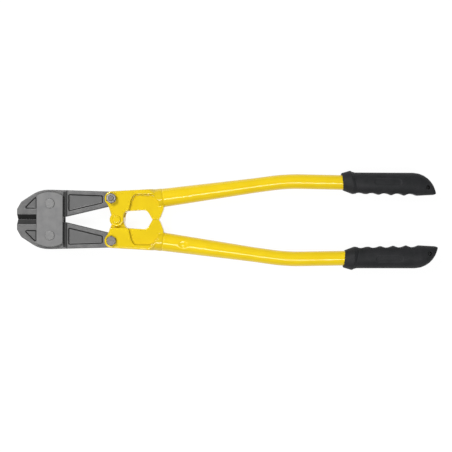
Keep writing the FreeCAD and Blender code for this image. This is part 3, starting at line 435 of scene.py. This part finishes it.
def make_head(which):
    mesh = remeshed(which + "_handle_head", HEAD_VOXEL, HEAD_ROUNDS)
    points = points_of(mesh)
    across = np.abs(points[:, 1])
    # The stop lugs touch on the centreline.
    at_lug = points[:, 0] > HINGE.x + LUG_FROM_HINGE
    close_up(mesh, points, across, at_lug)
    new_piece(which + "_head_forging", mesh, which + "_handle", "yellow_paint",
              FINISH["yellow_paint"], which + "_handle_head")


# ---------------------------------------------------------------------------------------------
# Handle tubes: rings along the taper, the bend and the straight tail
# ---------------------------------------------------------------------------------------------
RING_POINTS = 96
RING_STEP = 2.0
CRIMP_ALONG = 29.5
CRIMP_RADIUS = 7.0
CRIMP_DEPTH = 1.7
CRIMP_STEEPNESS = 2.2
CRIMP_POWER = 1.5


def tube_place(along, side):
    """Centre and outward direction (both in the XY plane) of a tube at a distance from the seam."""
    straight = min(along, BEND_START)
    turned = min(max(along - BEND_START, 0) / BEND_RADIUS, BEND_ANGLE)
    rest = max(along - BEND_START - BEND_LENGTH, 0)
    local_x = straight + BEND_RADIUS * math.sin(turned) + rest * math.cos(turned)
    local_y = -BEND_RADIUS * (1 - math.cos(turned)) - rest * math.sin(turned)
    run = local_x * math.cos(TUBE_SLOPE) - local_y * math.sin(TUBE_SLOPE)
    rise = local_x * math.sin(TUBE_SLOPE) + local_y * math.cos(TUBE_SLOPE)
    heading = TUBE_SLOPE - turned
    centre = Vector((HINGE.x + SEAM_FROM_HINGE + run, side * (SEAM_ACROSS + rise), MID_HEIGHT))
    outward = Vector((-math.sin(heading), side * math.cos(heading), 0))
    return centre, outward


def tube_radius(along):
    part = min(along / TAPER_LENGTH, 1)
    return SEAM_RADIUS + (TUBE_RADIUS - SEAM_RADIUS) * part


def make_tube(which):
    side = SIDE[which]
    crimp_up = -1 if which == "upper" else 1
    length = BEND_START + BEND_LENGTH + TUBE_TAIL + GRIP_SHIFT[which]
    steps = round(length / RING_STEP)
    stations = [length * number / steps for number in range(steps + 1)]
    # The outer skin runs out to the end and the inner one back, which closes the tube.
    path = [(along, 0.0) for along in stations] + [(along, TUBE_WALL) for along in reversed(stations)]
    work = bmesh.new()
    rings = []
    for along, inset in path:
        centre, outward = tube_place(along, side)
        ring = []
        for number in range(RING_POINTS):
            angle = 2 * math.pi * number / RING_POINTS
            radius = tube_radius(along) - inset
            off_top = radius * abs(math.remainder(angle - crimp_up * math.pi / 2, 2 * math.pi))
            reach = math.hypot(along - CRIMP_ALONG, off_top) / CRIMP_RADIUS
            if reach < 1:
                radius -= CRIMP_DEPTH * min(1, CRIMP_STEEPNESS * (1 - reach)) ** CRIMP_POWER
            point = centre + outward * (radius * math.cos(angle))
            point.z += radius * math.sin(angle)
            ring.append(work.verts.new(point * MM))
        rings.append(ring)
    for first, second in zip(rings, rings[1:] + rings[:1]):
        for number in range(RING_POINTS):
            following = (number + 1) % RING_POINTS
            work.faces.new((first[number], first[following], second[following], second[number]))
    bmesh.ops.recalc_face_normals(work, faces=work.faces)
    mesh = bpy.data.meshes.new(which + "_tube")
    work.to_mesh(mesh)
    work.free()
    new_piece(which + "_tube_drawn", mesh, which + "_handle", "yellow_paint",
              TUBE_ENAMEL, which + "_handle_tube")


# ---------------------------------------------------------------------------------------------
# Grips
# ---------------------------------------------------------------------------------------------
GRIP_VOXEL = 0.7
GRIP_ROUNDS = 6
# The groove and the panel fade in over this range outside the tube, so the bore isn't touched.
SKIN_START = (0.4, 1.6)
COLLAR_ALONG = 13.4
COLLAR_HALF_WIDTH = 17.05
COLLAR_LEAN = 2.2
MOUTH_LEAN_SHARE = 0.85
LEAN_FADE = (16.6, 25.6)
GROOVE_ALONG = 18.1
GROOVE_WIDTH = 0.8
GROOVE_DEPTH = 0.5
PANEL_START = 45
PANEL_END = 84
PANEL_ACROSS = 1.5
PANEL_HALF_WIDTH = 4.5
PANEL_DEPTH = 0.7
PANEL_EDGE = 0.6
BROAD_FACING = 0.5
TIP_ALONG = 132.8
TIP_ACROSS = -11.5
TIP_RADIUS = 3.6
HOLE_ALONG = 123.9
HOLE_ACROSS = -4.9
HOLE_REACH = 2.9
HOLE_TIGHTER = 0.25
HOLE_REAR = (4, 7)


def make_grip(which):
    mesh = remeshed(which + "_grip", GRIP_VOXEL, GRIP_ROUNDS)
    points = points_of(mesh)
    normals = normals_of(mesh)
    side = SIDE[which]
    mouth, outward = tube_place(BEND_START + BEND_LENGTH + GRIP_MOUTH + GRIP_SHIFT[which], side)
    forward = np.array((side * outward.y, -side * outward.x, 0))
    outward = np.array(outward)
    from_mouth = points - np.array(mouth)
    along = from_mouth @ forward
    across = from_mouth @ outward
    skin = smooth_step(np.hypot(across, from_mouth[:, 2]) - TUBE_RADIUS, *SKIN_START)

    # The mouth and the collar lean: their outer side reaches further towards the jaws.
    lean = MOUTH_LEAN_SHARE + (1 - MOUTH_LEAN_SHARE) * smooth_step(along, 0, COLLAR_ALONG)
    lean *= 1 - smooth_step(along, *LEAN_FADE)
    slant = COLLAR_LEAN * across / COLLAR_HALF_WIDTH
    points -= np.outer(slant * lean, forward)

    # A fine groove behind the collar, and a recessed rounded panel on both broad faces.
    groove = GROOVE_DEPTH * np.exp(-((along + slant - GROOVE_ALONG) / GROOVE_WIDTH) ** 2)
    end_circle = np.clip(along, PANEL_START + PANEL_HALF_WIDTH, PANEL_END - PANEL_HALF_WIDTH)
    past_panel = np.hypot(along - end_circle, across - PANEL_ACROSS) - PANEL_HALF_WIDTH
    panel = PANEL_DEPTH * (1 - smooth_step(past_panel, -PANEL_EDGE, PANEL_EDGE))
    panel *= np.abs(normals[:, 2]) > BROAD_FACING
    points -= normals * ((groove + panel) * skin)[:, None]

    # The tip of the tail is rounded off.
    past_tip = np.maximum(np.hypot(along - TIP_ALONG, across - TIP_ACROSS) - TIP_RADIUS, 0)
    past_tip *= (along > TIP_ALONG) & (across < TIP_ACROSS)
    pull = past_tip / (past_tip + TIP_RADIUS)
    points += np.outer((TIP_ALONG - along) * pull, forward)
    points += np.outer((TIP_ACROSS - across) * pull, outward)

    # The hanging hole gets painted shade inside. Its rear mouth is drawn in, so that seen from the
    # camera no floor shows through it.
    in_hole = np.hypot(along - HOLE_ALONG, across - HOLE_ACROSS) < HOLE_REACH
    tighter = HOLE_TIGHTER * in_hole * smooth_step(-from_mouth[:, 2], *HOLE_REAR)
    points += np.outer((HOLE_ALONG - along) * tighter, forward)
    points += np.outer((HOLE_ACROSS - across) * tighter, outward)
    move_points(mesh, points)
    add_mask(mesh, "hole_painted_shade", in_hole)
    new_piece(which + "_grip_moulding", mesh, which + "_handle", "grip_rubber",
              FINISH["grip_rubber"], which + "_grip")


for which in ("upper", "lower"):
    make_jaw(which)
    make_head(which)
    make_tube(which)
    make_grip(which)

# The CAD nodes that stay shown get the full finish of their slot. The nuts have patchier zinc
# with brighter highlights.
NUT_ZINC = zinc_steel("nut_zinc_finish", (0.14, 0.135, 0.13), (0.50, 0.48, 0.47))
for subpart in frame["record"]["subparts"]:
    node = frame["nodes"][subpart["node"]]
    is_nut = subpart["node"].endswith("_link_nut")
    for slot in node.material_slots:
        slot.material = NUT_ZINC if is_nut else FINISH[subpart["material_slot"]]

# ---------------------------------------------------------------------------------------------
# Floor, light and camera
# ---------------------------------------------------------------------------------------------
FLOOR_HALF = 30.0
floor_mesh = bpy.data.meshes.new("floor")
floor_mesh.from_pydata(
    [(-FLOOR_HALF, -FLOOR_HALF, 0), (FLOOR_HALF, -FLOOR_HALF, 0), (FLOOR_HALF, FLOOR_HALF, 0),
     (-FLOOR_HALF, FLOOR_HALF, 0)], [], [(0, 1, 2, 3)])
floor = bpy.data.objects.new("floor", floor_mesh)
scene.collection.objects.link(floor)
floor_surface = Surface("floor_white", (0.1, 0.1, 0.1), 0.0, 0.9)
floor_surface.shader.inputs["Emission Color"].default_value = (1, 1, 1, 1)
floor_surface.shader.inputs["Emission Strength"].default_value = 0.93
floor_surface.shader.inputs["Specular IOR Level"].default_value = 0.0
floor_mesh.materials.append(floor_surface.material)

world = bpy.data.worlds.new("studio")
scene.world = world
world.use_nodes = True
world.node_tree.nodes["Background"].inputs["Color"].default_value = (1, 1, 1, 1)
world.node_tree.nodes["Background"].inputs["Strength"].default_value = 0.22


def add_softbox(name, place, width, length, power):
    """Rectangular light facing the middle of the tool; its length runs along X."""
    light = bpy.data.lights.new(name, "AREA")
    light.shape = "RECTANGLE"
    light.size = length
    light.size_y = width
    light.energy = power
    lamp = bpy.data.objects.new(name, light)
    scene.collection.objects.link(lamp)
    lamp.location = place
    lamp.rotation_euler = Vector(place).to_track_quat("Z", "Y").to_euler()
    lamp.visible_camera = False


add_softbox("strip", (0.0, -0.47, 1.25), width=0.24, length=1.5, power=11.0)
add_softbox("key", (-0.75, 0.75, 1.5), width=0.5, length=0.5, power=21)

# The camera looks straight down on the tool from a little over a metre. The field width is what
# it sees at the scale height, which is measured up from the middle of the tool's thickness.
FIELD_WIDTH = 655.4
CAMERA_DISTANCE = 1250
SCALE_HEIGHT = 3
CAMERA_OFF_CENTRE = (-2.5, -8.75)
CAMERA_ROLL = math.radians(0.18)
SENSOR_WIDTH = 36
camera_data = bpy.data.cameras.new("camera")
camera_data.sensor_width = SENSOR_WIDTH
camera_data.lens = SENSOR_WIDTH * CAMERA_DISTANCE / FIELD_WIDTH
camera = bpy.data.objects.new("camera", camera_data)
scene.collection.objects.link(camera)
camera.location = Vector((*CAMERA_OFF_CENTRE, MID_HEIGHT + SCALE_HEIGHT + CAMERA_DISTANCE)) * MM
camera.rotation_euler = (0, 0, CAMERA_ROLL)
scene.camera = camera
scene.view_settings.view_transform = "Standard"
